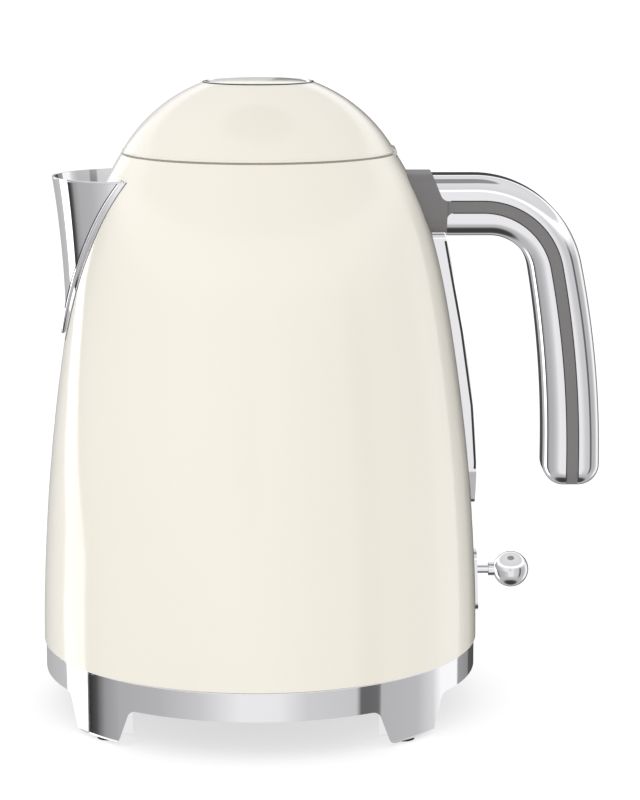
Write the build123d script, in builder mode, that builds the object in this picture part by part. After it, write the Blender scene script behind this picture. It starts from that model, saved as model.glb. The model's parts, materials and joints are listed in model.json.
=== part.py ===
from build123d import *
from math import cos, radians, sin, sqrt
import os

# Electric kettle, retro jug shape, standing on its round power base. Millimetres.
# +Z is up, +X points from the jug towards its handle and -X towards the spout.
# The origin is on the table, under the middle of the whole object's outline, so the jug's own
# axis stands at x = AXIS_X. Heights are measured from the table, radii from the jug's axis.

# Overall size
KETTLE_HEIGHT = 248.0
HANDLE_REACH = 134.4

# Jug wall: radius and height of the outline's points, from the lower edge up to the lid seam
BODY_BOTTOM = 26.6
SEAM_BOTTOM = 219.2
SEAM_TOP = 220.0
DOME_RADIUS = 61.5
DOME_CENTRE = 189.0
SEAM_RADIUS = sqrt(DOME_RADIUS**2 - (SEAM_BOTTOM - DOME_CENTRE) ** 2)
BODY_OUTLINE = [
    (86.4, BODY_BOTTOM),
    (85.3, 62.0),
    (83.4, 90.0),
    (80.2, 120.0),
    (75.9, 150.0),
    (67.3, 190.0),
    (61.6, 205.0),
    (SEAM_RADIUS, SEAM_BOTTOM),
]
AXIS_X = (BODY_OUTLINE[0][0] - HANDLE_REACH) / 2
WALL = 1.0
MOUTH_RADIUS = 47.5
LEDGE_TOP = 216.2
LEDGE_THICKNESS = 1.0

# Power base
BASE_RADIUS = 85.7
BASE_TOP = 26.0
BASE_WALL = 2.9
DECK_TOP = 24.0
DECK_BOTTOM = 20.8
FOOT_BOTTOM = 1.0
FOOT_TURN = -1.5
ARCH_TOP = 15.2
ARCH_HALF_WIDTH = 51.9
ARCH_FLARE = 0.35
FOOT_INNER_RADIUS = 72.5
PAD_RADIUS = 4.2
PAD_CENTRE_RADIUS = 80.0
PAD_HEIGHT = 1.6
RECESS_RADIUS = 77.5
DRUM_RADIUS = 33.0
DRUM_FLANGE_RADIUS = 44.0
DRUM_BOTTOM = 6.0
COVER_TOP = 20.6
COVER_THICKNESS = 2.0
COVER_BOTTOM = COVER_TOP - COVER_THICKNESS
FOOT_BLOCK_TOP = COVER_TOP - COVER_THICKNESS - 0.2
SCREW_CIRCLE = 66.0
BASE_SCREW_RADIUS = 1.75
BASE_SCREW_HEAD = 3.4
GLAND_HEIGHT = 13.3
GLAND_BORE = 2.9

# Round cordless connector
HUB_RADIUS = 17.0
HUB_TOP = 33.0
SOCKET_BORE = 17.6
SOCKET_RADIUS = 25.4
SOCKET_BOTTOM = 24.4
SOCKET_TOP = 35.4
CONTACT_RADIUS = 10.5

# Inside the jug
UNDERSIDE = 24.2
FLOOR_TOP = 63.5
PLATE_THICKNESS = 1.5
ELEMENT_RADIUS = 45.0
ELEMENT_TUBE = 3.6
ELEMENT_START = 23
ELEMENT_GAP = 60
STEAM_TUBE_RADIUS = 4.0
STEAM_TUBE_SPOT = (47.5, 20.0)
STEAM_TUBE_LENGTH = 154
COVER_SCREW_CIRCLE = 60.0

# Spout: part of an upright cone whose own axis stands in front of the jug's axis
SPOUT_AXIS = 51.5
SPOUT_TOP = 210.4
SPOUT_OUTLINE = [(24.6, 150.0), (24.8, 168.0), (26.4, 190.0), (27.5, 200.0), (29.0, SPOUT_TOP)]
SPOUT_WALL = 1.1
FLANGE_TOP = 212.0
FLANGE_BOTTOM = 149.6
FLANGE_PROUD = 1.2

# Limescale filter behind the spout
FILTER_X = -50.0
FILTER_BOTTOM = 168.0
FILTER_TOP = 207.0
FILTER_HALF_WIDTH = 23.0
FILTER_THICKNESS = 2.4
MESH_PITCH = 2.6

# Handle
HANDLE_WIDTH = 26.0
HANDLE_END = 88.0
HANDLE_ROUNDING = 7.2
END_ROUNDING = 8.4
STRIP_WIDTH = 4.7
SHELL_THICKNESS = 1.6
COLLAR_BOTTOM = 189.0
COLLAR_TOP = 211.9
HANDLE_INNER_X = 112.0
STRIP_X = 123.2
# Each bend: centre of its corner arc, radius, and the lean of the flat arc that follows and ends upright
OUTER_BEND = (84.0, 168.0, 42.9, 12.0)
INNER_BEND = (90.0, 171.4, 16.0, 10.0)
MIDDLE_BEND = (87.0, 169.7, 29.4, 11.0)
SCREW_HEIGHTS = (193.5, 205.5)
SCREW_HEAD_X = (60.5, 56.0)
HANDLE_SCREW_RADIUS = 2.0
BRACKET_THICKNESS = 1.5

# Water window
WINDOW_HALF_WIDTH = 9.0
LENS_HALF_WIDTH = 5.2
WINDOW_TOP = 188.7
WINDOW_TIP = 80.0
LENS_TOP = 186.0
LENS_BOTTOM = 94.0
FRAME_PROUD = [
    (68.0, 195.0), (71.4, 190.0), (76.4, 168.0), (79.8, 150.0), (84.1, 120.0), (85.6, 97.0), (85.3, 76.0),
]

# Lever switch
LEVER_PIVOT = (70.0, 52.0)
LEVER_BALL_X = 100.5
LEVER_BALL_RADIUS = 7.1
STEM_RADIUS = 1.65
LEVER_PIN_RADIUS = 1.2
LEVER_PLATE = (35.4, 60.2)
STEM_SLOT = (43.0, 54.6)
STEM_SLOT_HALF_WIDTH = 2.2

# Lid
LID_SKIN = 1.5
BUTTON_RADIUS = 19.8
BUTTON_BOTTOM = 244.8
BUTTON_EDGE = 246.9
CROWN_RADIUS = 180.0
CUP_FLOOR = 238.0
SPRING_RADIUS = 6.5
SPRING_WIRE = 0.45
SPRING_GAP = 0.55
BUTTON_RING_RADIUS = 21.2
LID_PIVOT = (52.2, 219.9)
BARREL_RADIUS = 1.5
HINGE_PIN_RADIUS = 0.75
KNUCKLE_SPLIT = 4.0
HINGE_HALF_WIDTH = 9.0
LINER_RADIUS = 50.3
LINER_BOTTOM = 218.8
LINER_TOP = 220.6
BOLT_TOP = 214.8
BOLT_BOTTOM = 212.4

RUNNING = 0.05
UPWARDS = (Align.CENTER, Align.CENTER, Align.MIN)
FORWARDS = (Align.MIN, Align.CENTER, Align.MIN)
FORWARDS_ONLY = (Align.MIN, Align.CENTER, Align.CENTER)
SIDE = Plane(origin=(AXIS_X, 0, 0), x_dir=(1, 0, 0), z_dir=(0, -1, 0))
AXIS = Axis((AXIS_X, 0, 0), (0, 0, 1))
SPOUT_SIDE = Plane(origin=(AXIS_X - SPOUT_AXIS, 0, 0), x_dir=(1, 0, 0), z_dir=(0, -1, 0))


def level(height):
    """Horizontal plane at a height, centred on the jug's axis."""
    return Plane((AXIS_X, 0, height))


def finish(builder, name):
    """Label a finished piece and write its STEP file."""
    builder.part.label = name
    export_step(builder.part, f"parts/{name}.step")


def turned(points):
    """Solid of revolution about the jug's axis from a closed outline of (radius, height)."""
    with BuildPart() as solid:
        with BuildSketch(SIDE):
            with BuildLine():
                Polyline(*points, close=True)
            make_face()
        revolve(axis=AXIS)
    return solid.part


def jug(growth):
    """The jug's outer form as a solid, its wall moved out by growth."""
    with BuildPart() as solid:
        with BuildSketch(SIDE):
            with BuildLine():
                wall = Spline(
                    *[(radius + growth, height) for radius, height in BODY_OUTLINE],
                    tangents=[(0, 1), (DOME_CENTRE - SEAM_BOTTOM, SEAM_RADIUS)],
                )
                Polyline(
                    (SEAM_RADIUS + growth, SEAM_BOTTOM),
                    (0, SEAM_BOTTOM),
                    (0, BODY_BOTTOM),
                    (BODY_OUTLINE[0][0] + growth, BODY_BOTTOM),
                )
            make_face()
        revolve(axis=AXIS)
    return solid.part


def cone(growth, taper=0.0):
    """The spout's cone as a solid, grown by growth, plus taper at its top."""
    low = SPOUT_OUTLINE[0][1]
    span = SPOUT_TOP - low
    outline = [(radius + growth + taper * (z - low) / span, z) for radius, z in SPOUT_OUTLINE]
    with BuildPart() as solid:
        with BuildSketch(SPOUT_SIDE):
            with BuildLine():
                Spline(*outline)
                Polyline(
                    outline[-1], (outline[-1][0], FLANGE_TOP), (0, FLANGE_TOP), (0, low), outline[0],
                )
            make_face()
        revolve(axis=Axis((AXIS_X - SPOUT_AXIS, 0, 0), (0, 0, 1)))
    return solid.part


def arch_cutter(top):
    """The gap between two neighbouring feet, cut outwards towards -Y."""
    half_top = ARCH_HALF_WIDTH - ARCH_FLARE * (top - FOOT_BOTTOM)
    with BuildPart() as cutter:
        with BuildSketch(Plane.XZ.offset(55)) as gap:
            with BuildLine():
                Polyline(
                    (-58, -2), (58, -2), (58, FOOT_BOTTOM), (ARCH_HALF_WIDTH, FOOT_BOTTOM),
                    (half_top, top), (-half_top, top),
                    (-ARCH_HALF_WIDTH, FOOT_BOTTOM), (-58, FOOT_BOTTOM), close=True,
                )
            make_face()
            fillet([corner for corner in gap.vertices() if abs(corner.X) < 57], 3.4)
        extrude(amount=45)
    return cutter.part


def around(count, radius=0.0, start=0.0):
    """Places round the jug's axis, each turned to face outwards."""
    places = PolarLocations(radius, count, start).local_locations
    return [Location((AXIS_X, 0, 0)) * place for place in places]


os.makedirs("parts", exist_ok=True)

jug_outside = jug(0)
jug_inside = jug(-WALL)
jug_clear = jug(RUNNING)
jug_lining = jug(-WALL - RUNNING)

# ---------------------------------------------------------------- power base

# Four bracket feet: a ring of blocks cut by the gaps between the feet
with BuildPart() as foot_blocks:
    add(turned([
        (FOOT_INNER_RADIUS, FOOT_BOTTOM),
        (BASE_RADIUS - BASE_WALL + 0.5, FOOT_BOTTOM),
        (BASE_RADIUS - BASE_WALL + 0.5, FOOT_BLOCK_TOP),
        (FOOT_INNER_RADIUS, FOOT_BLOCK_TOP),
    ]))
    for place in around(4, start=FOOT_TURN):
        add(arch_cutter(40.0).moved(place), mode=Mode.SUBTRACT)

# Chrome ring: a skirt with four low arches, an inner rim for the jug, and the feet inside it
with BuildPart() as base_ring:
    add(turned([
        (BASE_RADIUS - BASE_WALL, FOOT_BOTTOM),
        (BASE_RADIUS - 1.2, FOOT_BOTTOM),
        (BASE_RADIUS - 0.35, FOOT_BOTTOM + 0.45),
        (BASE_RADIUS, FOOT_BOTTOM + 1.3),
        (BASE_RADIUS, BASE_TOP),
        (RECESS_RADIUS, BASE_TOP),
        (RECESS_RADIUS, DECK_TOP),
        (BASE_RADIUS - BASE_WALL, DECK_TOP),
    ]))
    for place in around(4, start=FOOT_TURN):
        add(arch_cutter(ARCH_TOP).moved(place), mode=Mode.SUBTRACT)
    add(foot_blocks.part)
    with Locations(*around(4, PAD_CENTRE_RADIUS, 45 + FOOT_TURN)):
        Cylinder(PAD_RADIUS, PAD_HEIGHT, align=UPWARDS, mode=Mode.SUBTRACT)
finish(base_ring, "base_ring")

with BuildPart() as foot_pads:
    with Locations(*around(4, PAD_CENTRE_RADIUS, 45 + FOOT_TURN)):
        Cylinder(PAD_RADIUS, PAD_HEIGHT, align=UPWARDS)
finish(foot_pads, "foot_pads")


# Deck that the jug stands on, with a hole for the connector hub
with BuildPart() as base_deck:
    with BuildSketch(level(DECK_BOTTOM)):
        Circle(BASE_RADIUS - BASE_WALL - 0.1)
        Circle(HUB_RADIUS + 0.2, mode=Mode.SUBTRACT)
    extrude(amount=DECK_TOP - DECK_BOTTOM)
    with BuildSketch(level(DECK_BOTTOM)):
        with PolarLocations(SCREW_CIRCLE, 4, 45):
            Circle(BASE_SCREW_RADIUS)
    extrude(amount=2.2, mode=Mode.SUBTRACT)
finish(base_deck, "base_deck")

# Male connector hub, with a bore for the centre contact and a groove for the ring contact
with BuildPart() as base_hub:
    add(turned([
        (4.5, COVER_TOP), (HUB_RADIUS + 8, COVER_TOP), (HUB_RADIUS + 8, DECK_BOTTOM - 0.1),
        (HUB_RADIUS, DECK_BOTTOM - 0.1), (HUB_RADIUS, HUB_TOP - 1.5), (HUB_RADIUS - 1.5, HUB_TOP),
        (CONTACT_RADIUS + 1.3, HUB_TOP), (CONTACT_RADIUS + 1.3, 27.0), (CONTACT_RADIUS - 1.3, 27.0),
        (CONTACT_RADIUS - 1.3, HUB_TOP), (4.5, HUB_TOP),
    ]))
finish(base_hub, "base_hub")

# Brass contacts of the hub: the centre sleeve and the ring at the groove's bottom
with BuildPart() as base_contacts:
    add(turned([(3.4, COVER_TOP), (4.5, COVER_TOP), (4.5, HUB_TOP - 1), (3.4, HUB_TOP - 1)]))
    add(turned([
        (CONTACT_RADIUS - 1.3, 27.0), (CONTACT_RADIUS + 1.3, 27.0),
        (CONTACT_RADIUS + 1.3, 28.0), (CONTACT_RADIUS - 1.3, 28.0),
    ]))
finish(base_contacts, "base_contacts")

# Underside cover with the drum that the cord is wound on
with BuildPart() as base_cover:
    add(turned([
        (0, DRUM_BOTTOM), (DRUM_FLANGE_RADIUS, DRUM_BOTTOM), (DRUM_FLANGE_RADIUS, DRUM_BOTTOM + 2),
        (DRUM_RADIUS, DRUM_BOTTOM + 2), (DRUM_RADIUS, COVER_BOTTOM),
        (BASE_RADIUS - BASE_WALL - 0.3, COVER_BOTTOM), (BASE_RADIUS - BASE_WALL - 0.3, COVER_TOP),
        (DRUM_RADIUS - 2.5, COVER_TOP), (DRUM_RADIUS - 2.5, DRUM_BOTTOM + 2), (0, DRUM_BOTTOM + 2),
    ]))
    with BuildSketch(level(COVER_BOTTOM)):
        with PolarLocations(SCREW_CIRCLE, 4, 45):
            Circle(BASE_SCREW_RADIUS)
    extrude(amount=COVER_THICKNESS, mode=Mode.SUBTRACT)
    with Locations(Location((AXIS_X, DRUM_RADIUS - 2, GLAND_HEIGHT), (90, 0, 0))):
        Cylinder(GLAND_BORE + 1.6, 8, mode=Mode.SUBTRACT)
finish(base_cover, "base_cover")

# Rubber gland in the drum's wall, where the supply cord enters
with BuildPart() as cord_gland:
    with Locations(Location((AXIS_X, DRUM_RADIUS, GLAND_HEIGHT), (90, 0, 0))):
        Cylinder(GLAND_BORE + 1.6, 8)
        Cylinder(GLAND_BORE, 8, mode=Mode.SUBTRACT)
finish(cord_gland, "cord_gland")

with BuildPart() as base_screws:
    with Locations(*around(4, SCREW_CIRCLE, 45)):
        with Locations((0, 0, COVER_BOTTOM)):
            Cylinder(BASE_SCREW_RADIUS, 4.3, align=UPWARDS)
            Cylinder(BASE_SCREW_HEAD, 1.8, align=(Align.CENTER, Align.CENTER, Align.MAX))
finish(base_screws, "base_screws")

# ---------------------------------------------------------------- jug


# Painted steel jug with an inward ledge round its mouth
with BuildPart() as body_shell:
    add(jug_outside)
    add(jug_inside, mode=Mode.SUBTRACT)
    add(turned([
        (MOUTH_RADIUS, LEDGE_TOP - LEDGE_THICKNESS), (55.7, LEDGE_TOP - LEDGE_THICKNESS),
        (55.2, LEDGE_TOP), (MOUTH_RADIUS, LEDGE_TOP),
    ]))
    with BuildSketch(Plane.YZ) as pour_hole:
        with BuildLine():
            Polyline((-19, 206), (19, 206), (5, 172), (-5, 172), close=True)
        make_face()
        fillet(pour_hole.vertices(), 3)
    extrude(amount=-120, mode=Mode.SUBTRACT)
    with BuildSketch(Plane.YZ):
        with Locations((0, (LENS_TOP + LENS_BOTTOM) / 2)):
            Rectangle(2 * LENS_HALF_WIDTH + 2, LENS_TOP - LENS_BOTTOM + 2)
        with Locations(*[(0, height) for height in SCREW_HEIGHTS]):
            Circle(HANDLE_SCREW_RADIUS + RUNNING)
        with Locations((0, sum(STEM_SLOT) / 2)):
            Rectangle(2 * STEM_SLOT_HALF_WIDTH, STEM_SLOT[1] - STEM_SLOT[0])
    extrude(amount=120, mode=Mode.SUBTRACT)
    with Locations((AXIS_X + 50, 0, SEAM_BOTTOM - 1.2)):
        Box(10, 2 * HINGE_HALF_WIDTH + 0.6, 4, align=FORWARDS, mode=Mode.SUBTRACT)
finish(body_shell, "body_shell")

# Steel floor of the water chamber, with a down-turned rim
with BuildPart() as heater_plate:
    add(turned([
        (0, FLOOR_TOP - PLATE_THICKNESS), (81.2, FLOOR_TOP - PLATE_THICKNESS), (81.2, 56.0), (82.6, 56.0),
        (82.6, FLOOR_TOP), (0, FLOOR_TOP),
    ]))
    with Locations((AXIS_X + STEAM_TUBE_SPOT[0], STEAM_TUBE_SPOT[1], FLOOR_TOP)):
        Cylinder(STEAM_TUBE_RADIUS, 10, mode=Mode.SUBTRACT)
finish(heater_plate, "heater_plate")

# Silicone ring between the floor's rim and the jug's wall
with BuildPart() as plate_seal:
    add(turned([(82.7, 56.5), (86.0, 56.5), (86.0, 62.5), (82.7, 62.5)]))
    add(jug_lining, mode=Mode.INTERSECT)
finish(plate_seal, "plate_seal")

with BuildPart() as heat_spreader:
    with BuildSketch(level(60.0)):
        Circle(40)
    extrude(amount=2)
finish(heat_spreader, "heat_spreader")

# Tubular heating element: an open ring under the floor, its gap round the steam tube
start = radians(ELEMENT_GAP / 2 + ELEMENT_START)
with BuildPart() as heating_element:
    cut = Plane((AXIS_X, 0, 0), x_dir=(cos(start), sin(start), 0), z_dir=(sin(start), -cos(start), 0))
    with BuildSketch(cut):
        with Locations((ELEMENT_RADIUS, 56.3)):
            Circle(ELEMENT_TUBE)
    revolve(axis=AXIS, revolution_arc=360 - ELEMENT_GAP)
finish(heating_element, "heating_element")

# Thermostat and contact carrier over the connector, and the boil switch beside it
with BuildPart() as control_unit:
    with BuildSketch(level(36.0)):
        Circle(24)
    extrude(amount=14)
    with BuildSketch(level(50.0)):
        with PolarLocations(15, 3):
            Circle(4)
    extrude(amount=10)
finish(control_unit, "control_unit")

with BuildPart() as steam_switch:
    with Locations((AXIS_X + 55, 0, 30.0)):
        Box(12, 20, 18, align=UPWARDS)
finish(steam_switch, "steam_switch")

with BuildPart() as steam_tube:
    with Locations((AXIS_X + STEAM_TUBE_SPOT[0], STEAM_TUBE_SPOT[1], 52.0)):
        Cylinder(STEAM_TUBE_RADIUS, STEAM_TUBE_LENGTH, align=UPWARDS)
        Cylinder(STEAM_TUBE_RADIUS - 0.8, STEAM_TUBE_LENGTH, align=UPWARDS, mode=Mode.SUBTRACT)
finish(steam_tube, "steam_tube")

# Bottom cover: stands on the deck inside the ring's recess, and closes the heating compartment
with BuildPart() as bottom_cover:
    add(turned([
        (SOCKET_RADIUS + 0.5, UNDERSIDE), (75, UNDERSIDE), (77, 26.8), (85.1, 26.8), (85.1, 28.8),
        (75, 28.8), (73, 26.2), (SOCKET_RADIUS + 0.5, 26.2),
    ]))
    with BuildSketch(level(UNDERSIDE)):
        with PolarLocations(COVER_SCREW_CIRCLE, 3, 90):
            Circle(3.4)
    extrude(amount=2, mode=Mode.SUBTRACT)
finish(bottom_cover, "bottom_cover")

with BuildPart() as bottom_screws:
    with Locations(*around(3, COVER_SCREW_CIRCLE, 90)):
        with Locations((0, 0, UNDERSIDE + 0.4)):
            Cylinder(3.3, 1.6, align=UPWARDS)
            Cylinder(BASE_SCREW_RADIUS, 8, align=UPWARDS)
finish(bottom_screws, "bottom_screws")

# Female connector socket that turns with no stop round the hub
with BuildPart() as kettle_socket:
    add(turned([
        (SOCKET_BORE, SOCKET_BOTTOM), (SOCKET_RADIUS, SOCKET_BOTTOM), (SOCKET_RADIUS, SOCKET_TOP),
        (0, SOCKET_TOP), (0, HUB_TOP + 0.6), (SOCKET_BORE, HUB_TOP + 0.6),
    ]))
finish(kettle_socket, "kettle_socket")

with BuildPart() as socket_pins:
    with Locations((AXIS_X, 0, 26.0)):
        Cylinder(2.4, HUB_TOP + 0.6 - 26.0, align=UPWARDS)
    with Locations(*around(2, CONTACT_RADIUS)):
        with Locations((0, 0, 29.0)):
            Cylinder(0.8, HUB_TOP + 0.6 - 29.0, align=UPWARDS)
finish(socket_pins, "socket_pins")

# ---------------------------------------------------------------- spout and filter

spout_inside = cone(-SPOUT_WALL)
flange_body = jug(FLANGE_PROUD)

# Chrome spout, open on top, with a narrow flange that follows its edge on the jug
with BuildPart() as spout:
    add(cone(0))
    add(flange_body.intersect(cone(0.5, 2.0)))
    add(jug_clear, mode=Mode.SUBTRACT)
    add(spout_inside, mode=Mode.SUBTRACT)
    with Locations((AXIS_X - SPOUT_AXIS - 2, 0, SPOUT_TOP)):
        Box(60, 80, 10, align=UPWARDS, mode=Mode.SUBTRACT)
    with Locations((AXIS_X, 0, FLANGE_BOTTOM)):
        Box(200, 100, 30, align=(Align.CENTER, Align.CENTER, Align.MAX), mode=Mode.SUBTRACT)
    with Locations((AXIS_X, 0, 0)):
        Box(100, 100, 300, align=FORWARDS, mode=Mode.SUBTRACT)
finish(spout, "spout")


# Two rails on the wall that hold the removable limescale filter
with BuildPart() as filter_rails:
    for side in (-1, 1):
        with Locations((AXIS_X + FILTER_X, side * (FILTER_HALF_WIDTH - 2), FILTER_BOTTOM + 4)):
            Box(30, 2, FILTER_TOP - FILTER_BOTTOM - 8, align=(Align.MAX, Align.CENTER, Align.MIN))
    add(jug_lining, mode=Mode.INTERSECT)
finish(filter_rails, "filter_rails")

with BuildPart() as filter_frame:
    with BuildSketch(Plane.YZ.offset(AXIS_X + FILTER_X)) as panel:
        with Locations((0, (FILTER_TOP + FILTER_BOTTOM) / 2)):
            RectangleRounded(2 * FILTER_HALF_WIDTH, FILTER_TOP - FILTER_BOTTOM, 4)
            RectangleRounded(2 * FILTER_HALF_WIDTH - 7, FILTER_TOP - FILTER_BOTTOM - 7, 2, mode=Mode.SUBTRACT)
            Rectangle(2, FILTER_TOP - FILTER_BOTTOM - 1)
    extrude(amount=FILTER_THICKNESS)
    with Locations((AXIS_X + FILTER_X + FILTER_THICKNESS, 0, FILTER_TOP - 3)):
        Box(5, 12, 1.6, align=FORWARDS_ONLY)
finish(filter_frame, "filter_frame")

with BuildPart() as filter_mesh:
    for side in (-1, 1):
        with BuildSketch(Plane.YZ.offset(AXIS_X + FILTER_X + 0.9)):
            with Locations((side * 10.25, (FILTER_TOP + FILTER_BOTTOM) / 2)):
                RectangleRounded(18.4, FILTER_TOP - FILTER_BOTTOM - 7.1, 2)
                with GridLocations(MESH_PITCH, MESH_PITCH, 6, 11):
                    Rectangle(1.8, 1.8, mode=Mode.SUBTRACT)
        extrude(amount=0.6)
finish(filter_mesh, "filter_mesh")

# ---------------------------------------------------------------- handle



def bend(corner, end_x):
    """Corner arc, flat arc ending upright at end_x, and the height where that arc ends."""
    x, z, radius, lean = corner
    start_x = x + radius * cos(radians(lean))
    start_z = z + radius * sin(radians(lean))
    flat = (end_x - start_x) / (1 - cos(radians(lean)))
    end_z = start_z - flat * sin(radians(lean))
    CenterArc((x, z), radius, 90, lean - 90)
    CenterArc((end_x - flat, end_z), flat, lean, -lean)
    return end_z


def handle_form(inset):
    """The whole handle as a rounded solid bar, every face moved in by inset."""
    outer_x = HANDLE_REACH - inset
    inner_x = HANDLE_INNER_X + inset
    outer_bend = (OUTER_BEND[0], OUTER_BEND[1], OUTER_BEND[2] - inset, OUTER_BEND[3])
    inner_bend = (INNER_BEND[0], INNER_BEND[1], INNER_BEND[2] + inset, INNER_BEND[3])
    with BuildPart() as bar:
        with BuildSketch(SIDE) as outline:
            with BuildLine():
                outer_z = bend(outer_bend, outer_x)
                inner_z = bend(inner_bend, inner_x)
                Polyline((outer_x, outer_z), (outer_x, HANDLE_END + inset), (inner_x, HANDLE_END + inset),
                         (inner_x, inner_z))
                Polyline((OUTER_BEND[0], OUTER_BEND[1] + OUTER_BEND[2] - inset),
                         (50, OUTER_BEND[1] + OUTER_BEND[2] - inset),
                         (50, INNER_BEND[1] + INNER_BEND[2] + inset),
                         (INNER_BEND[0], INNER_BEND[1] + INNER_BEND[2] + inset))
            make_face()
            fillet(outline.vertices().sort_by(Axis.Y)[:2], END_ROUNDING - inset)
        extrude(amount=HANDLE_WIDTH / 2 - inset, both=True)
        rims = [edge for edge in bar.edges()
                if abs(abs(edge.center().Y) - HANDLE_WIDTH / 2 + inset) < 0.01
                and edge.center().X > AXIS_X + 50.01]
        fillet(rims, HANDLE_ROUNDING - inset)
    return bar.part


with BuildPart() as strip_band:
    with BuildSketch(SIDE):
        with BuildLine() as middle:
            Line((40, 199.1), (MIDDLE_BEND[0], 199.1))
            middle_z = bend(MIDDLE_BEND, STRIP_X)
            Line((STRIP_X, middle_z), (STRIP_X, 70))
        trace(line_width=STRIP_WIDTH)
    extrude(amount=HANDLE_WIDTH, both=True)

handle_whole = handle_form(0)
handle_inner = handle_form(SHELL_THICKNESS)

# Where the chrome shells begin: slanted above the strip, upright below it, each with a rounded corner
STRIP_TOP = MIDDLE_BEND[1] + MIDDLE_BEND[2] + STRIP_WIDTH / 2
STRIP_UNDER = STRIP_TOP - STRIP_WIDTH
with BuildPart() as outer_zone:
    with BuildSketch(SIDE) as above:
        with BuildLine():
            Polyline(
                (66.3, 214), (71.4, STRIP_TOP + 0.02), (84, STRIP_TOP + 0.02), (84, 170), (130, 60),
                (160, 60), (160, 214), close=True,
            )
        make_face()
        fillet(above.vertices().sort_by(Axis.X)[1], 3.2)
    extrude(amount=HANDLE_WIDTH, both=True)
with BuildPart() as inner_zone:
    with BuildSketch(SIDE) as below:
        with BuildLine():
            Polyline(
                (73, STRIP_UNDER - 0.02), (73, 180), (100, 60), (160, 60), (160, 214), (86, 214),
                (86, STRIP_UNDER - 0.02), close=True,
            )
        make_face()
        fillet(below.vertices().group_by(Axis.X)[0].sort_by(Axis.Y)[-1], 2.4)
    extrude(amount=HANDLE_WIDTH, both=True)

# Chrome outer and inner shells, hollow over the core's web
with BuildPart() as shells:
    add(handle_whole)
    add(handle_inner, mode=Mode.SUBTRACT)
    add(strip_band.part, mode=Mode.SUBTRACT)
    add(outer_zone.part + inner_zone.part, mode=Mode.INTERSECT)
inner_shell, outer_shell = shells.part.solids().sort_by(Axis.Z)

with BuildPart() as handle_outer_shell:
    add(outer_shell)
finish(handle_outer_shell, "handle_outer_shell")

with BuildPart() as handle_inner_shell:
    add(inner_shell)
finish(handle_inner_shell, "handle_inner_shell")

# Grey plastic core: the web inside the shells, the strip along each side, and the collar
with BuildPart() as handle_collar:
    with BuildSketch(Plane.YZ.offset(AXIS_X + 50)):
        with Locations((0, (COLLAR_TOP + COLLAR_BOTTOM) / 2)):
            RectangleRounded(HANDLE_WIDTH + 1.6, COLLAR_TOP - COLLAR_BOTTOM, 7.5)
    extrude(amount=23)
    add(outer_zone.part, mode=Mode.SUBTRACT)

with BuildPart() as handle_core:
    add(handle_whole)
    add(shells.part, mode=Mode.SUBTRACT)
    with Locations((AXIS_X + 50, 0, COLLAR_BOTTOM)):
        Box(23, 2 * HANDLE_WIDTH, 10, align=(Align.MIN, Align.CENTER, Align.MAX), mode=Mode.SUBTRACT)
    add(handle_collar.part)
    add(jug_clear, mode=Mode.SUBTRACT)
    with Locations(*[Location((AXIS_X + 60, 0, height), (0, 90, 0)) for height in SCREW_HEIGHTS]):
        Cylinder(HANDLE_SCREW_RADIUS, 16, align=UPWARDS, mode=Mode.SUBTRACT)
finish(handle_core, "handle_core")

bracket_inside = jug(-WALL - BRACKET_THICKNESS)

# Steel plate inside the wall that takes the load of the handle's screws
with BuildPart() as handle_bracket:
    with BuildSketch(Plane.YZ.offset(AXIS_X + 40)):
        with Locations((0, (SCREW_HEIGHTS[0] + SCREW_HEIGHTS[1]) / 2)):
            RectangleRounded(30, 23, 3)
        with Locations(*[(0, height) for height in SCREW_HEIGHTS]):
            Circle(HANDLE_SCREW_RADIUS + RUNNING, mode=Mode.SUBTRACT)
    extrude(amount=50)
    add(jug_lining, mode=Mode.INTERSECT)
    add(bracket_inside, mode=Mode.SUBTRACT)
finish(handle_bracket, "handle_bracket")

with BuildPart() as handle_screws:
    for height, head_x in zip(SCREW_HEIGHTS, SCREW_HEAD_X):
        with Locations(Location((AXIS_X + head_x, 0, height), (0, 90, 0))):
            Cylinder(HANDLE_SCREW_RADIUS, 14, align=UPWARDS)
            Cylinder(3.5, 2.2, align=(Align.CENTER, Align.CENTER, Align.MAX))
finish(handle_screws, "handle_screws")

# ---------------------------------------------------------------- water window



def window_form(inset):
    """Bar that stands out of the jug along the window, its outer face moved in by inset."""
    with BuildPart() as bar:
        with BuildSketch(SIDE):
            with BuildLine():
                Spline(*[(x - inset, z) for x, z in FRAME_PROUD])
                Polyline((FRAME_PROUD[-1][0] - inset, 76.0), (50, 76.0), (50, 195.0), (68.0 - inset, 195.0))
            make_face()
        extrude(amount=WINDOW_HALF_WIDTH + 5, both=True)
    return bar.part


# Chrome surround, square under the collar and drawn to a rounded tip below
with BuildPart() as window_frame:
    with BuildSketch(Plane.YZ) as surround:
        with BuildLine():
            Polyline(
                (-WINDOW_HALF_WIDTH, WINDOW_TOP), (WINDOW_HALF_WIDTH, WINDOW_TOP),
                (WINDOW_HALF_WIDTH, LENS_BOTTOM), (3.5, WINDOW_TIP), (-3.5, WINDOW_TIP),
                (-WINDOW_HALF_WIDTH, LENS_BOTTOM), close=True,
            )
        make_face()
        fillet(surround.vertices(), 2.8)
        with Locations((0, (LENS_TOP + LENS_BOTTOM) / 2)):
            RectangleRounded(2 * LENS_HALF_WIDTH + 0.1, LENS_TOP - LENS_BOTTOM + 0.1, 2, mode=Mode.SUBTRACT)
    extrude(amount=120)
    add(window_form(0), mode=Mode.INTERSECT)
    add(jug_clear, mode=Mode.SUBTRACT)
finish(window_frame, "window_frame")

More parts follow.
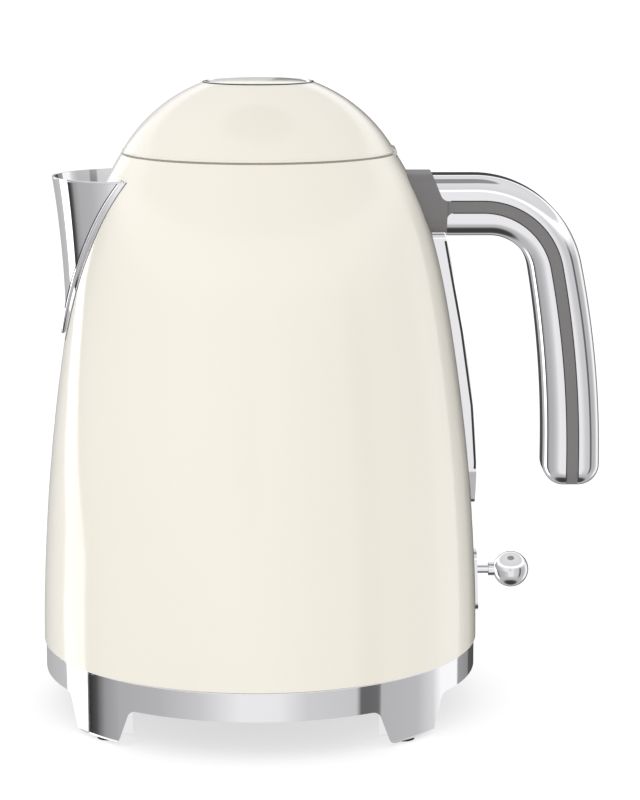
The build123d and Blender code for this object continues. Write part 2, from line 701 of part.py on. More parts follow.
# Clear window, a curved bar that fills the frame and reaches through the wall
lens_inside = jug(-WALL - 1.5)
with BuildPart() as window_lens:
    with BuildSketch(Plane.YZ):
        with Locations((0, (LENS_TOP + LENS_BOTTOM) / 2)):
            RectangleRounded(2 * LENS_HALF_WIDTH, LENS_TOP - LENS_BOTTOM, 2)
    extrude(amount=120)
    add(window_form(0.9), mode=Mode.INTERSECT)
    add(lens_inside, mode=Mode.SUBTRACT)
finish(window_lens, "window_lens")

# Silicone gasket between the window and the slot in the wall
with BuildPart() as window_gasket:
    with BuildSketch(Plane.YZ):
        with Locations((0, (LENS_TOP + LENS_BOTTOM) / 2)):
            Rectangle(2 * LENS_HALF_WIDTH + 2, LENS_TOP - LENS_BOTTOM + 2)
            RectangleRounded(2 * LENS_HALF_WIDTH + 0.05, LENS_TOP - LENS_BOTTOM + 0.05, 2, mode=Mode.SUBTRACT)
    extrude(amount=120)
    add(jug_outside, mode=Mode.INTERSECT)
    add(lens_inside, mode=Mode.SUBTRACT)
finish(window_gasket, "window_gasket")

# ---------------------------------------------------------------- lever switch

# Narrow chrome plate with the slot that the lever's stem travels in
with BuildPart() as lever_plate:
    with BuildSketch(Plane.YZ):
        with Locations((0, sum(LEVER_PLATE) / 2)):
            SlotOverall(LEVER_PLATE[1] - LEVER_PLATE[0], 9.0, rotation=90)
        with Locations((0, sum(STEM_SLOT) / 2)):
            Rectangle(2 * STEM_SLOT_HALF_WIDTH, STEM_SLOT[1] - STEM_SLOT[0], mode=Mode.SUBTRACT)
    extrude(amount=120)
    add(flange_body, mode=Mode.INTERSECT)
    add(jug_clear, mode=Mode.SUBTRACT)
finish(lever_plate, "lever_plate")

# Steel stem with the hub that turns on the pin, and the short arm that works the switch
with BuildPart() as lever_stem:
    with Locations(Location((AXIS_X + LEVER_PIVOT[0] - 6, 0, LEVER_PIVOT[1]), (0, 90, 0))):
        Cylinder(STEM_RADIUS, LEVER_BALL_X - LEVER_PIVOT[0] + 3, align=UPWARDS)
    with Locations(Location((AXIS_X + LEVER_PIVOT[0], 0, LEVER_PIVOT[1]), (90, 0, 0))):
        Cylinder(3.2, 9)
        Cylinder(LEVER_PIN_RADIUS + RUNNING, 9, mode=Mode.SUBTRACT)
finish(lever_stem, "lever_stem")

with BuildPart() as lever_ball:
    with Locations((AXIS_X + LEVER_BALL_X, 0, LEVER_PIVOT[1])):
        Sphere(LEVER_BALL_RADIUS)
    with Locations(Location((AXIS_X + LEVER_BALL_X - 9, 0, LEVER_PIVOT[1]), (0, 90, 0))):
        Cylinder(2.6, 4, align=UPWARDS)
        Cylinder(STEM_RADIUS, 6, align=UPWARDS, mode=Mode.SUBTRACT)
finish(lever_ball, "lever_ball")

# Plastic bracket on the bottom cover that carries the lever's pin between two cheeks
with BuildPart() as lever_bracket:
    with Locations((AXIS_X + LEVER_PIVOT[0] - 4, 0, 28.8)):
        Box(8, 14, 2, align=FORWARDS)
    for side in (-1, 1):
        with Locations((AXIS_X + LEVER_PIVOT[0], side * 6, 28.8)):
            Box(8, 2, 28, align=UPWARDS)
    with Locations(Location((AXIS_X + LEVER_PIVOT[0], 0, LEVER_PIVOT[1]), (90, 0, 0))):
        Cylinder(LEVER_PIN_RADIUS, 20, mode=Mode.SUBTRACT)
finish(lever_bracket, "lever_bracket")

with BuildPart() as lever_pin:
    with Locations(Location((AXIS_X + LEVER_PIVOT[0], 0, LEVER_PIVOT[1]), (90, 0, 0))):
        Cylinder(LEVER_PIN_RADIUS, 14)
finish(lever_pin, "lever_pin")

# ---------------------------------------------------------------- lid

PIVOT_X = AXIS_X + LID_PIVOT[0]
PIVOT_Z = LID_PIVOT[1]
DOME_HOLE = BUTTON_RING_RADIUS + 0.1

# Painted dome that carries on the jug's curve
with BuildPart() as lid_dome:
    with BuildSketch(SIDE) as dome:
        with Locations((0, DOME_CENTRE)):
            Circle(DOME_RADIUS)
            Circle(DOME_RADIUS - LID_SKIN, mode=Mode.SUBTRACT)
        with Locations((0, SEAM_TOP)):
            Rectangle(2 * DOME_RADIUS, 60, align=(Align.CENTER, Align.MIN), mode=Mode.INTERSECT)
        with Locations((DOME_HOLE, 0)):
            Rectangle(100, 300, align=(Align.MIN, Align.MIN), mode=Mode.INTERSECT)
    revolve(axis=AXIS)
    with Locations((AXIS_X + 49, 0, SEAM_TOP - 2)):
        Box(10, 2 * HINGE_HALF_WIDTH + 0.6, 3.9, align=FORWARDS, mode=Mode.SUBTRACT)
finish(lid_dome, "lid_dome")

# Steel liner under the dome, with the housing of the latch bolt hanging from it
with BuildPart() as lid_liner:
    with BuildSketch(level(LINER_BOTTOM)):
        Circle(LINER_RADIUS)
    extrude(amount=LINER_TOP - LINER_BOTTOM)
    with Locations((AXIS_X - 20, 0, LINER_BOTTOM)):
        Box(46, 15, LINER_BOTTOM - 210.8, align=(Align.CENTER, Align.CENTER, Align.MAX))
    with Locations((AXIS_X - 20, 0, (BOLT_TOP + BOLT_BOTTOM) / 2)):
        Box(60, 10.4, BOLT_TOP - BOLT_BOTTOM + 0.4, mode=Mode.SUBTRACT)
    with Locations((AXIS_X, 0, 215)):
        Box(9, 9, 14, mode=Mode.SUBTRACT)
finish(lid_liner, "lid_liner")

with BuildPart() as lid_seal:
    add(turned([(48.2, 216.5), (51.2, 216.7), (50.6, LINER_BOTTOM), (47.0, LINER_BOTTOM), (46.4, 217.6)]))
finish(lid_seal, "lid_seal")

# Cup under the button: guides its stem and carries the spring
with BuildPart() as button_cup:
    add(turned([
        (3.3, CUP_FLOOR), (20.6, CUP_FLOOR), (20.6, 245.3), (19.9, 245.3), (19.9, CUP_FLOOR + 1.2),
        (3.3, CUP_FLOOR + 1.2),
    ]))
    with Locations(*around(3, 14)):
        with Locations((0, 0, LINER_TOP)):
            Cylinder(2.4, CUP_FLOOR - LINER_TOP + 0.5, align=UPWARDS)
finish(button_cup, "button_cup")

with BuildPart() as button_ring:
    add(turned([
        (BUTTON_RADIUS + 0.2, 245.4), (BUTTON_RING_RADIUS, 245.4), (BUTTON_RING_RADIUS, 247.1),
        (BUTTON_RADIUS + 0.7, 247.4), (BUTTON_RADIUS + 0.2, 247.1),
    ]))
finish(button_ring, "button_ring")

with BuildPart() as lid_button:
    add(turned([
        (0, BUTTON_BOTTOM), (19.2, BUTTON_BOTTOM), (BUTTON_RADIUS, BUTTON_EDGE - 0.6),
        (BUTTON_RADIUS, KETTLE_HEIGHT), (0, KETTLE_HEIGHT),
    ]))
    with Locations((AXIS_X, 0, KETTLE_HEIGHT - CROWN_RADIUS)):
        Sphere(CROWN_RADIUS, mode=Mode.INTERSECT)
    with Locations((AXIS_X, 0, BOLT_TOP - 1.5)):
        Cylinder(3.0, BUTTON_BOTTOM - BOLT_TOP + 1.5, align=UPWARDS)
finish(lid_button, "lid_button")

with BuildPart() as button_spring:
    with BuildLine(level(CUP_FLOOR + 1.2 + SPRING_GAP)) as coil:
        Helix(1.1, BUTTON_BOTTOM - CUP_FLOOR - 1.2 - 2 * SPRING_GAP, SPRING_RADIUS)
    with BuildSketch(Plane(origin=coil.line @ 0, z_dir=coil.line % 0)):
        Circle(SPRING_WIRE)
    sweep(is_frenet=True)
finish(button_spring, "button_spring")

# Latch bolt that the button's stem draws back; its window leaves room for the stem
with BuildPart() as lid_latch:
    with Locations((AXIS_X - 46.6, 0, (BOLT_TOP + BOLT_BOTTOM) / 2)):
        Box(53, 10, BOLT_TOP - BOLT_BOTTOM, align=FORWARDS_ONLY)
    with Locations((AXIS_X - 7.5, 0, (BOLT_TOP + BOLT_BOTTOM) / 2)):
        Box(11.5, 6.6, 5, align=FORWARDS_ONLY, mode=Mode.SUBTRACT)
finish(lid_latch, "lid_latch")

# Hinge flush with the rear of the seam: two fixed knuckles, one moving knuckle and the pin
with BuildPart() as hinge_fixed:
    for side in (-1, 1):
        middle = side * (KNUCKLE_SPLIT + HINGE_HALF_WIDTH) / 2 + side * 0.1
        with Locations(Location((PIVOT_X, middle, PIVOT_Z), (90, 0, 0))):
            Cylinder(BARREL_RADIUS, HINGE_HALF_WIDTH - KNUCKLE_SPLIT - 0.2)
        with Locations((PIVOT_X - 0.4, middle, LEDGE_TOP)):
            Box(1, HINGE_HALF_WIDTH - KNUCKLE_SPLIT - 0.2, PIVOT_Z - LEDGE_TOP,
                align=UPWARDS)
    with Locations(Location((PIVOT_X, 0, PIVOT_Z), (90, 0, 0))):
        Cylinder(HINGE_PIN_RADIUS, 30, mode=Mode.SUBTRACT)
finish(hinge_fixed, "hinge_fixed")

with BuildPart() as hinge_moving:
    with Locations(Location((PIVOT_X, 0, PIVOT_Z), (90, 0, 0))):
        Cylinder(BARREL_RADIUS, 2 * KNUCKLE_SPLIT - 0.4)
    with Locations((PIVOT_X - 9, 0, LINER_TOP)):
        Box(9, 2 * KNUCKLE_SPLIT - 0.4, 0.8, align=FORWARDS)
    with Locations(Location((PIVOT_X, 0, PIVOT_Z), (90, 0, 0))):
        Cylinder(HINGE_PIN_RADIUS + RUNNING, 30, mode=Mode.SUBTRACT)
finish(hinge_moving, "hinge_moving")

with BuildPart() as hinge_pin:
    with Locations(Location((PIVOT_X, 0, PIVOT_Z), (90, 0, 0))):
        Cylinder(HINGE_PIN_RADIUS, 2 * HINGE_HALF_WIDTH)
finish(hinge_pin, "hinge_pin")
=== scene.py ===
import json
import math

import bmesh
import bpy
import numpy as np
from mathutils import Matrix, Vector


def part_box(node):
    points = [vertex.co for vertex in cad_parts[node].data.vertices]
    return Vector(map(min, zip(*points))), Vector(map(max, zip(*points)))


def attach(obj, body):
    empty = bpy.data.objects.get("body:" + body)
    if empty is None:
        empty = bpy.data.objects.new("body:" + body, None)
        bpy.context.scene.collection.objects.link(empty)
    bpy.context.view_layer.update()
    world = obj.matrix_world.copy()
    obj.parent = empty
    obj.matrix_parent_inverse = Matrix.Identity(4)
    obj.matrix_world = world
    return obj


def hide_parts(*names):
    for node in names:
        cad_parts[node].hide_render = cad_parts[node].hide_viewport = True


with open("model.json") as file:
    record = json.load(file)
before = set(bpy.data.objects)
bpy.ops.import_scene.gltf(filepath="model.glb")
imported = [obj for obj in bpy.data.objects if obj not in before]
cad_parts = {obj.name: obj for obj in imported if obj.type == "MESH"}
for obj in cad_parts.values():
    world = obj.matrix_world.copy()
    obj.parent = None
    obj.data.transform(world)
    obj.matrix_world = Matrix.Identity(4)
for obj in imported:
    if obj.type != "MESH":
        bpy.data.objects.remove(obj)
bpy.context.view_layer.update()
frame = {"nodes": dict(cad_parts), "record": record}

# Electric kettle: looks. Lengths below are in millimetres and measured from the jug's own axis,
# with +X towards the handle and -Y towards the viewer.
MM = 0.001
button_low, button_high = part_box("lid_button")
JUG_AXIS = (button_low.x + button_high.x) / 2 / MM


def place(x, y, z):
    """A point measured from the jug's axis, in metres in the kettle's frame."""
    return Vector(((JUG_AXIS + x) * MM, y * MM, z * MM))


SIDEWAYS = Vector((1, 0, 0))
AWAY = Vector((0, 1, 0))
UPWARDS = Vector((0, 0, 1))


# ---------------------------------------------------------------- camera

CAMERA_SPOT = (9.4, -1016.6, 309.0)
CAMERA_DOWN = 10.47
CAMERA_RIGHT = 0.82

camera = bpy.data.objects.new("Camera", bpy.data.cameras.new("Camera"))
bpy.context.scene.collection.objects.link(camera)
camera.location = place(*CAMERA_SPOT)
camera.rotation_euler = (math.radians(90 - CAMERA_DOWN), 0, math.radians(-CAMERA_RIGHT))
camera.data.sensor_width = 36.0
camera.data.lens = 117.37
camera.data.clip_start = 0.05
camera.data.clip_end = 50
bpy.context.scene.camera = camera
bpy.context.scene.view_settings.view_transform = "Standard"


# ---------------------------------------------------------------- shader maths

class Wire:
    """An output socket that can be reckoned with: each operator adds one Math node."""

    def __init__(self, board, socket):
        self.board = board
        self.socket = socket

    def reckon(self, operation, *values):
        inputs = dict(enumerate(values))
        return self.board.node("ShaderNodeMath", {"operation": operation}, inputs)

    def __add__(self, other):
        return self.reckon("ADD", self, other)

    def __sub__(self, other):
        return self.reckon("SUBTRACT", self, other)

    def __rsub__(self, other):
        return self.reckon("SUBTRACT", other, self)

    def __mul__(self, other):
        return self.reckon("MULTIPLY", self, other)

    __radd__ = __add__
    __rmul__ = __mul__


class Board:
    """A node tree that nodes are added to and wired on."""

    def __init__(self, tree):
        self.tree = tree

    def join(self, value, socket):
        if isinstance(value, Wire):
            self.tree.links.new(value.socket, socket)
        else:
            socket.default_value = value

    def node(self, kind, settings=None, inputs=None, output=0):
        made = self.tree.nodes.new(kind)
        settings = dict(settings or {})
        stops = settings.pop("stops", None)
        for name, value in settings.items():
            setattr(made, name, value)
        if stops:
            ramp = made.color_ramp
            while len(ramp.elements) < len(stops):
                ramp.elements.new(1.0)
            for element, (spot, colour) in zip(ramp.elements, stops):
                element.position = spot
                element.color = colour
        for name, value in (inputs or {}).items():
            self.join(value, made.inputs[name])
        return Wire(self, made.outputs[output])

    def noise(self, where, scale, detail=2.0, roughness=0.5):
        return self.node("ShaderNodeTexNoise", inputs={
            "Vector": where, "Scale": scale, "Detail": detail, "Roughness": roughness,
        })

    def blend(self, factor, first, second):
        return self.node(
            "ShaderNodeMix", {"data_type": "RGBA"},
            {"Factor": factor, 6: (*first, 1), 7: (*second, 1)}, output=2,
        )


def finish_of(name, colours, roughness, swing=0.04, patch=14.0, grain=None, stretch=None, **constants):
    """A material: two near colours in soft patches, a roughness that swings, and a fine grain.

    grain is the scale of the bump in cycles per metre and its depth in metres; stretch draws the
    patches and the grain out along one way, as brushing does.
    """
    material = bpy.data.materials.new(name)
    material.use_nodes = True
    board = Board(material.node_tree)
    shader = material.node_tree.nodes["Principled BSDF"]
    for socket, value in constants.items():
        shader.inputs[socket.replace("_", " ")].default_value = value
    where = board.node("ShaderNodeTexCoord", output=3)
    if stretch:
        where = board.node("ShaderNodeMapping", inputs={"Vector": where, "Scale": stretch})
    patches = board.noise(where, patch, 3.0)
    board.join(board.blend(patches, *colours), shader.inputs["Base Color"])
    board.join(roughness + (board.noise(where, patch * 3.1) - 0.5) * (2 * swing), shader.inputs["Roughness"])
    if grain:
        scale, depth = grain
        bump = board.node("ShaderNodeBump", inputs={
            "Height": board.noise(where, scale, 4.0, 0.55), "Distance": depth, "Strength": 1.0,
        })
        board.join(bump, shader.inputs["Normal"])
    return material


cream_enamel = finish_of(
    "cream_enamel", ((0.872, 0.832, 0.732), (0.884, 0.846, 0.750)), 0.34, grain=(260.0, 0.00001),
    Coat_Weight=1.0, Coat_Roughness=0.09, Specular_IOR_Level=0.4,
)
polished_chrome = finish_of(
    "polished_chrome", ((0.875, 0.868, 0.895), (0.905, 0.898, 0.92)), 0.045, swing=0.015,
    grain=(90.0, 0.000004), Metallic=1.0,
)
brushed_steel = finish_of(
    "brushed_steel", ((0.55, 0.55, 0.54), (0.66, 0.66, 0.65)), 0.28, swing=0.08, patch=30.0,
    grain=(500.0, 0.00002), stretch=(8.0, 8.0, 0.35), Metallic=1.0,
)
wire_steel = finish_of(
    "wire_steel", ((0.50, 0.50, 0.50), (0.60, 0.60, 0.59)), 0.25, patch=120.0,
    grain=(1500.0, 0.00001), Metallic=1.0,
)
grey_plastic = finish_of(
    "grey_plastic", ((0.182, 0.176, 0.176), (0.198, 0.192, 0.192)), 0.46, patch=40.0,
    grain=(2600.0, 0.00001), Specular_IOR_Level=0.35,
)
black_plastic = finish_of(
    "black_plastic", ((0.018, 0.018, 0.019), (0.028, 0.028, 0.029)), 0.5, patch=60.0,
    grain=(1800.0, 0.00002), Specular_IOR_Level=0.4,
)
white_plastic = finish_of(
    "white_plastic", ((0.70, 0.69, 0.65), (0.76, 0.75, 0.72)), 0.42, patch=60.0,
    grain=(1600.0, 0.00001),
)
foot_rubber = finish_of(
    "foot_rubber", ((0.022, 0.022, 0.022), (0.045, 0.045, 0.044)), 0.82, patch=200.0,
    grain=(2200.0, 0.00004), Specular_IOR_Level=0.25,
)
grey_silicone = finish_of(
    "grey_silicone", ((0.56, 0.56, 0.54), (0.64, 0.64, 0.61)), 0.55, patch=80.0,
    grain=(1200.0, 0.00001), Subsurface_Weight=0.15,
)
window_plastic = finish_of(
    "window_plastic", ((0.70, 0.73, 0.77), (0.78, 0.81, 0.84)), 0.10, patch=25.0,
    grain=(300.0, 0.000005), Transmission_Weight=0.75, IOR=1.49,
)
contact_brass = finish_of(
    "contact_brass", ((0.70, 0.50, 0.20), (0.82, 0.63, 0.30)), 0.24, patch=90.0,
    grain=(900.0, 0.00001), Metallic=1.0,
)
cast_aluminium = finish_of(
    "cast_aluminium", ((0.66, 0.66, 0.67), (0.76, 0.76, 0.77)), 0.36, patch=70.0,
    grain=(1400.0, 0.00002), Metallic=1.0,
)
# A taupe that paints the shade inside the gap of the lid seam
seam_shade_taupe = finish_of(
    "seam_shade_taupe", ((0.40, 0.38, 0.31), (0.46, 0.44, 0.36)), 0.6, patch=200.0, grain=(2000.0, 0.00001),
)
mark_paint = finish_of(
    "mark_paint", ((0.82, 0.82, 0.80), (0.88, 0.88, 0.86)), 0.5, patch=300.0, grain=(2000.0, 0.00001),
)

FINISHES = {
    "cream_paint": cream_enamel,
    "chrome": polished_chrome,
    "steel": brushed_steel,
    "steel_wire": wire_steel,
    "grey_plastic": grey_plastic,
    "black_plastic": black_plastic,
    "white_plastic": white_plastic,
    "rubber": foot_rubber,
    "silicone": grey_silicone,
    "clear_plastic": window_plastic,
    "brass": contact_brass,
    "aluminium": cast_aluminium,
}
for row in frame["record"]["subparts"]:
    node = frame["nodes"][row["node"]]
    node.data.materials.clear()
    node.data.materials.append(FINISHES[row["material_slot"]])


# ---------------------------------------------------------------- mesh makers

def piece(name, points, faces, body, slot, material=None):
    """A new mesh piece that rides on a body and takes its finish from a slot."""
    mesh = bpy.data.meshes.new(name)
    mesh.from_pydata([tuple(point) for point in points], [], faces)
    shape = bmesh.new()
    shape.from_mesh(mesh)
    bmesh.ops.recalc_face_normals(shape, faces=shape.faces)
    shape.to_mesh(mesh)
    shape.free()
    mesh.shade_smooth()
    mesh.materials.append(material or FINISHES[slot])
    made = bpy.data.objects.new(name, mesh)
    bpy.context.scene.collection.objects.link(made)
    made.visible_glossy = False
    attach(made, body)
    return made


def grid_faces(rows, columns, loop_rows, loop_columns):
    """Quads over a grid of points, joined round where a direction loops."""
    faces = []
    for i in range(rows if loop_rows else rows - 1):
        for j in range(columns if loop_columns else columns - 1):
            below, beside = (i + 1) % rows, (j + 1) % columns
            faces.append((i * columns + j, below * columns + j,
                          below * columns + beside, i * columns + beside))
    return faces


def turned(name, profile, body, slot, gap=0.0, steps=180, **extra):
    """A closed profile of (radius, height) turned about the jug's axis.

    It stays open over gap, an angle to either side of the handle.
    """
    turn = 2 * math.pi - 2 * gap
    count = steps if gap == 0 else steps + 1
    points = []
    for i in range(count):
        angle = gap + turn * i / steps
        points += [place(r * math.cos(angle), r * math.sin(angle), z) for r, z in profile]
    faces = grid_faces(count, len(profile), gap == 0, True)
    if gap:
        last = (count - 1) * len(profile)
        faces += [tuple(range(len(profile))), tuple(range(last, last + len(profile)))]
    return piece(name, points, faces, body, slot, **extra)


def bead(radius, height, size, sides=12):
    """The round section of a bead turned about the axis."""
    angles = [2 * math.pi * k / sides for k in range(sides)]
    return [(radius + size * math.cos(angle), height + size * math.sin(angle)) for angle in angles]


def band(inner, outer, low, high):
    """The square section of a band turned about the axis."""
    return [(inner, low), (outer, low), (outer, high), (inner, high)]


def tube(name, path, size, body, slot, sides=12, squash=1.0, across=AWAY, **extra):
    """A round bar along a path of points, closed at both ends. squash flattens it along across."""
    points = []
    count = len(path)
    for i, middle in enumerate(path):
        ahead = (path[min(i + 1, count - 1)] - path[max(i - 1, 0)]).normalized()
        wide = ahead.cross(across).normalized()
        deep = wide.cross(ahead).normalized()
        for k in range(sides):
            angle = 2 * math.pi * k / sides
            points.append(middle + (wide * math.cos(angle) + deep * (math.sin(angle) * squash)) * size * MM)
    faces = grid_faces(count, sides, False, True)
    faces += [tuple(range(sides)), tuple(range((count - 1) * sides, count * sides))]
    return piece(name, points, faces, body, slot, **extra)


# ---------------------------------------------------------------- jug and lid edges

JUG_OUTLINE = [(86.4, 26.6), (85.3, 62.0), (83.4, 90.0), (80.2, 120.0), (75.9, 150.0), (67.3, 190.0),
               (61.6, 205.0), (53.57, 219.2)]
SEAM_RADIUS = 53.1
HINGE_HALF_WIDTH = 9.7
HINGE_GAP = math.asin(HINGE_HALF_WIDTH / SEAM_RADIUS)


def smooth_through(points):
    """A function that runs smoothly through points of (value, height)."""
    values = np.array([value for value, _ in points])
    heights = np.array([height for _, height in points])
    steps = np.diff(heights)
    slopes = np.diff(values) / steps
    count = len(points)
    system = np.eye(count)
    right = np.zeros(count)
    for i in range(1, count - 1):
        system[i, i - 1:i + 2] = steps[i - 1], 2 * (steps[i - 1] + steps[i]), steps[i]
        right[i] = 6 * (slopes[i] - slopes[i - 1])
    bends = np.linalg.solve(system, right)

    def value_at(height):
        i = int(np.clip(np.searchsorted(heights, height) - 1, 0, count - 2))
        span = steps[i]
        before, after = height - heights[i], heights[i + 1] - height
        return float(
            (bends[i] * after**3 + bends[i + 1] * before**3) / (6 * span)
            + (values[i] / span - bends[i] * span / 6) * after
            + (values[i + 1] / span - bends[i + 1] * span / 6) * before
        )

    return value_at


jug_radius = smooth_through(JUG_OUTLINE)

# Rolled edges, so that the sheet metal turns in at the seams instead of ending sharp
turned("jug_top_roll", bead(53.2, 218.85, 0.42), "kettle", "cream_paint", gap=HINGE_GAP)
turned("lid_edge_roll", bead(52.72, 220.36, 0.42), "lid", "cream_paint", gap=HINGE_GAP)
# A taupe band inside the lid seam paints the shade in the gap between jug and lid
turned("seam_shade_band", band(51.6, 52.75, 219.3, 219.85), "kettle", "silicone", gap=HINGE_GAP,
       material=seam_shade_taupe)
turned("jug_foot_roll", bead(85.82, 27.12, 0.56), "kettle", "cream_paint")
turned("base_top_roll", bead(85.25, 25.6, 0.46), "power_base", "chrome")
# A thin black band paints the shadow in the gap between jug and base
turned("base_shadow_gap", band(84.9, 85.0, 26.05, 26.55), "kettle", "black_plastic")

# ---------------------------------------------------------------- push button

BUTTON_PROFILE = [
    (0.0, 248.0), (5.0, 247.98), (10.0, 247.85), (14.0, 247.6), (16.8, 247.25), (18.6, 246.85),
    (19.4, 246.45), (19.7, 245.9), (19.5, 245.0), (18.8, 244.85), (3.0, 244.85), (3.0, 213.4), (0.0, 213.4),
]
button_cap = turned("button_cap", BUTTON_PROFILE, "button", "cream_paint", steps=120)
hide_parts("lid_button")
RING_PROFILE = [
    (20.05, 245.4), (21.2, 245.4), (21.35, 246.5), (21.2, 246.95), (20.8, 247.1), (20.35, 247.0),
    (20.05, 246.6),
]
ring_edge = turned("button_ring_edge", RING_PROFILE, "lid", "chrome", steps=140)
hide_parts("button_ring")
turned("button_groove", bead(21.42, 246.72, 0.26), "lid", "black_plastic", steps=140)

# ---------------------------------------------------------------- spout

SPOUT_AXIS = -51.5
SPOUT_TOP = 210.4
SPOUT_OUTLINE = [(24.6, 150.0), (24.8, 168.0), (26.4, 190.0), (27.5, 200.0), (29.0, 210.4)]
LIP_INSET = 0.45
LIP_BELOW_TOP = 0.3
LIP_STEPS = 80
spout_radius = smooth_through(SPOUT_OUTLINE)


def spout_edge(proud, wider, low, high, steps=70):
    """Where the spout, made wider, meets the jug, made proud: from the near top to the far top."""
    near = []
    for i in range(steps + 1):
        height = high + (low - high) * (1 - (1 - i / steps) ** 2)
        jug = jug_radius(height) + proud
        spout = spout_radius(height) + wider
        x = (spout**2 - jug**2 - SPOUT_AXIS**2) / (-2 * SPOUT_AXIS)
        if abs(x) >= jug:
            break
        near.append((x, -math.sqrt(jug**2 - x**2), height))
    return [place(*point) for point in near] + [place(x, -y, z) for x, y, z in reversed(near)]


tube("spout_bead", spout_edge(1.1, 1.25, 149.6, 211.0), 0.78, "kettle", "chrome", across=SIDEWAYS)
# A grey line at the flange's outer edge paints the shadow where the flange meets the jug
tube("spout_edge_shade", spout_edge(0.1, 2.45, 147.5, 210.6), 0.2, "kettle", "grey_plastic", across=SIDEWAYS)
# A black line paints the shade in the crease where the bead meets the spout
tube("spout_crease_shade", spout_edge(1.7, 0.12, 151.6, 210.0), 0.16, "kettle", "black_plastic", across=SIDEWAYS)

lip_radius = spout_radius(SPOUT_TOP) - LIP_INSET
lip_turn = math.acos(
    (jug_radius(SPOUT_TOP) ** 2 - SPOUT_AXIS**2 - lip_radius**2) / (2 * -SPOUT_AXIS * lip_radius)
)
lip_path = []
for i in range(LIP_STEPS + 1):
    angle = -lip_turn + 2 * lip_turn * i / LIP_STEPS
    x, y = SPOUT_AXIS - lip_radius * math.cos(angle), lip_radius * math.sin(angle)
    lip_path.append(place(x, y, SPOUT_TOP - LIP_BELOW_TOP))
tube("spout_lip", lip_path, 0.46, "kettle", "chrome", across=UPWARDS)

# ---------------------------------------------------------------- handle strip

HANDLE_FACE = 13.0
HANDLE_BEND = (87.0, 169.7)
HANDLE_BEND_RADIUS = 29.4
HANDLE_LEAN = math.radians(11.0)
STRIP_X = 123.2
STRIP_END = 90.6
STRIP_HALF = 2.35
GAP_SHADE_SIZE = 0.2


def strip_path(offset, side, start_x):
    """A line that follows the strip along one side of the handle, offset from the strip's middle."""
    x, z = HANDLE_BEND
    radius, lean = HANDLE_BEND_RADIUS + offset, HANDLE_LEAN
    y = side * HANDLE_FACE
    path = [(start_x + (x - start_x) * i / 8, y, z + radius) for i in range(8)]
    path += [(x + radius * math.sin(t), y, z + radius * math.cos(t))
             for t in np.linspace(0, math.pi / 2 - lean, 33)]
    corner_x = x + radius * math.cos(lean)
    corner_z = z + radius * math.sin(lean)
    end_x = STRIP_X + offset
    flat = (end_x - corner_x) / (1 - math.cos(lean))
    flat_z = corner_z - flat * math.sin(lean)
    path += [(end_x - flat + flat * math.cos(t), y, flat_z + flat * math.sin(t))
             for t in np.linspace(lean, 0, 25)[1:]]
    path += [(end_x, y, flat_z + (STRIP_END - flat_z) * i / 8) for i in range(1, 9)]
    return [place(*point) for point in path]


SIDES = {"near": -1, "far": 1}
# Black lines along both edges of the strip paint the shade in the gaps between the shells and the strip
for where, side in SIDES.items():
    for edge, offset, start in (("outer", STRIP_HALF, 74.4), ("inner", -STRIP_HALF, 75.2)):
        tube(f"strip_gap_shade_{edge}_{where}", strip_path(offset, side, start), GAP_SHADE_SIZE, "kettle",
             "black_plastic", sides=8)

# ---------------------------------------------------------------- water window

WINDOW_HEIGHTS = [94, 97, 120, 150, 168, 186]
WINDOW_FACE = [84.55, 84.7, 83.2, 78.9, 75.5, 72.2]
TRIM_Y = 8.8
TRIM_PROUD = 0.35
MARK_START = -4.6
MARK_PROUD = 0.03


def window_face(height):
    """How far the window's outer face stands from the jug's axis."""
    return np.interp(height, WINDOW_HEIGHTS, WINDOW_FACE)


for where, side in SIDES.items():
    path = [place(window_face(height) + TRIM_PROUD, side * TRIM_Y, height)
            for height in np.linspace(95.0, 185.5, 40)]
    tube(f"window_trim_{where}", path, 0.5, "kettle", "black_plastic", across=SIDEWAYS)

# Level marks: each fourth one is long
for i in range(9):
    height = 104.0 + 9.0 * i
    length = 5.2 if i % 4 == 0 else 3.0
    path = [place(window_face(height) + MARK_PROUD, y, height)
            for y in np.linspace(MARK_START, MARK_START + length, 6)]
    tube(f"level_mark_{i + 1}", path, 0.35, "kettle", "white_plastic", squash=0.4, sides=8,
         across=SIDEWAYS, material=mark_paint)

# ---------------------------------------------------------------- floor and light

# The kettle mirrors the studio alone: its own parts don't show in each other
for shape in frame["nodes"].values():
    shape.visible_glossy = False

floor_mesh = bpy.data.meshes.new("floor")
floor_mesh.from_pydata([(-20, -20, 0), (20, -20, 0), (20, 20, 0), (-20, 20, 0)], [], [(0, 1, 2, 3)])
floor = bpy.data.objects.new("floor", floor_mesh)
bpy.context.scene.collection.objects.link(floor)
floor_paint = bpy.data.materials.new("floor_paint")
floor_paint.use_nodes = True
floor_shader = floor_paint.node_tree.nodes["Principled BSDF"]
floor_shader.inputs["Base Color"].default_value = (0.45, 0.45, 0.45, 1)
floor_shader.inputs["Roughness"].default_value = 0.9
floor_shader.inputs["Specular IOR Level"].default_value = 0.0
floor_shader.inputs["Emission Color"].default_value = (1, 1, 1, 1)
floor_shader.inputs["Emission Strength"].default_value = 0.66
floor_mesh.materials.append(floor_paint)
floor.visible_glossy = False

# What polished metal mirrors all round: (degrees from the viewer towards the handle, brightness)
ROOM = [
    (-180, 0.05), (-171, 0.10), (-168, 0.45), (-126, 0.60), (-125, 2.10), (-105, 2.20), (-104, 0.02),
    (-97, 0.09), (-90, 0.34), (-80, 0.46), (-55, 0.50), (-32, 0.64), (-10, 0.92), (10, 0.90),
    (25, 0.68), (53, 0.62), (54, 0.14), (66, 0.16), (67, 0.50), (92, 0.54), (105, 0.74), (112, 1.05),
    (131, 1.05), (132, 0.36), (149, 0.28), (150, 0.10), (180, 0.05),
]
ROOM_SCALE = 2.5
LEAN_FROM = 0.17
LEAN_LIMIT = 0.18
LEAN_RATE = 0.5

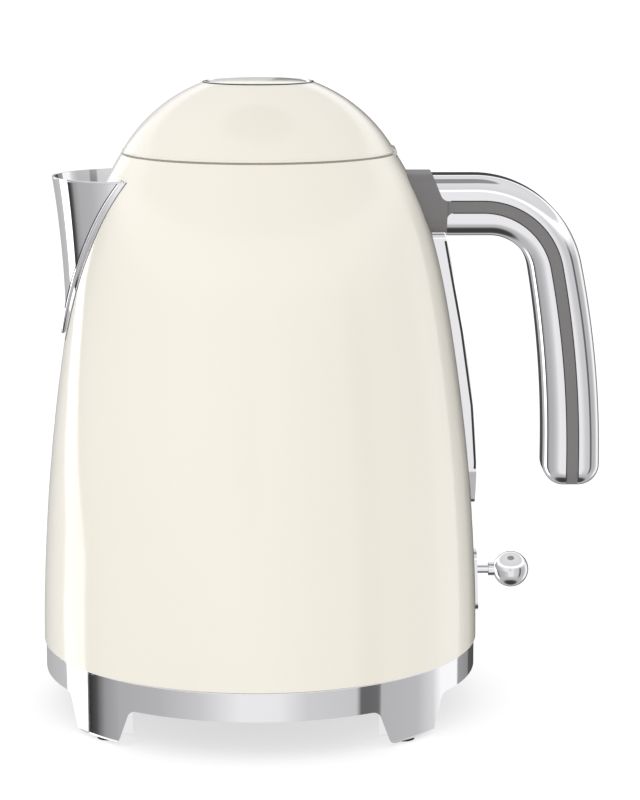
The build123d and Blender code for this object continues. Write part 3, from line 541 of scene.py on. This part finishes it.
world = bpy.data.worlds.new("studio")
world.use_nodes = True
bpy.context.scene.world = world
studio = Board(world.node_tree)
sky = world.node_tree.nodes["Background"]
look = studio.node("ShaderNodeTexCoord", output=0)
apart = studio.tree.nodes.new("ShaderNodeSeparateXYZ")
studio.join(look, apart.inputs[0])
look_x, look_y, look_z = (Wire(studio, socket) for socket in apart.outputs)
# On the spout's side the walls turn further round the higher one looks, up to a limit
lean = look_z.reckon("MAXIMUM", look_z + LEAN_FROM, 0.0)
lean = lean.reckon("MINIMUM", lean, LEAN_LIMIT) * LEAN_RATE
left = look_x.reckon("LESS_THAN", look_x, 0.0)
turn = look_x.reckon("ARCTAN2", look_x, look_y * -1.0) * (0.5 / math.pi) + 0.5 + lean * left
walls = studio.node("ShaderNodeValToRGB", {
    "stops": [((angle + 180) / 360, (light / ROOM_SCALE,) * 3 + (1,)) for angle, light in ROOM],
}, {"Fac": turn})
wall_share = studio.node("ShaderNodeValToRGB", {
    "stops": [(spot, (share,) * 3 + (1,)) for spot, share in
              [(0.0, 0.0), (0.12, 0.0), (0.22, 1.0), (0.56, 1.0), (0.66, 0.0), (1.0, 0.0)]],
}, {"Fac": look_z * 0.5 + 0.5})
ceiling = studio.node("ShaderNodeValToRGB", {
    "stops": [(spot, (light / ROOM_SCALE,) * 3 + (1,)) for spot, light in
              [(0.0, 0.05), (0.03, 0.07), (0.07, 0.50), (0.60, 0.85), (0.66, 1.20), (0.73, 1.20),
               (0.76, 0.74), (0.97, 0.82), (0.98, 0.30), (1.0, 0.30)]],
}, {"Fac": look_z * 0.5 + 0.5})
mirrored = studio.node("ShaderNodeMix", {"data_type": "FLOAT"},
                       {"Factor": wall_share, 2: ceiling, 3: walls}) * ROOM_SCALE
soft = 0.83 - look_x * 0.10 + look_z * 0.20
paths = studio.tree.nodes.new("ShaderNodeLightPath")
glossy = Wire(studio, paths.outputs["Is Glossy Ray"])
seen = Wire(studio, paths.outputs["Is Camera Ray"])
studio.join(mirrored * glossy + soft * (1 - glossy) + seen * 0.2, sky.inputs["Strength"])
sky.inputs["Color"].default_value = (1, 1, 1, 1)

lamp = bpy.data.lights.new("key", "AREA")
lamp.shape = "DISK"
lamp.size = 0.9
lamp.energy = 2.2
key = bpy.data.objects.new("key", lamp)
key.location = (-0.9, -1.1, 1.5)
key.rotation_euler = (Vector((0, 0, 0.12)) - key.location).to_track_quat("-Z", "Y").to_euler()
key.visible_glossy = False
key.visible_camera = False
bpy.context.scene.collection.objects.link(key)
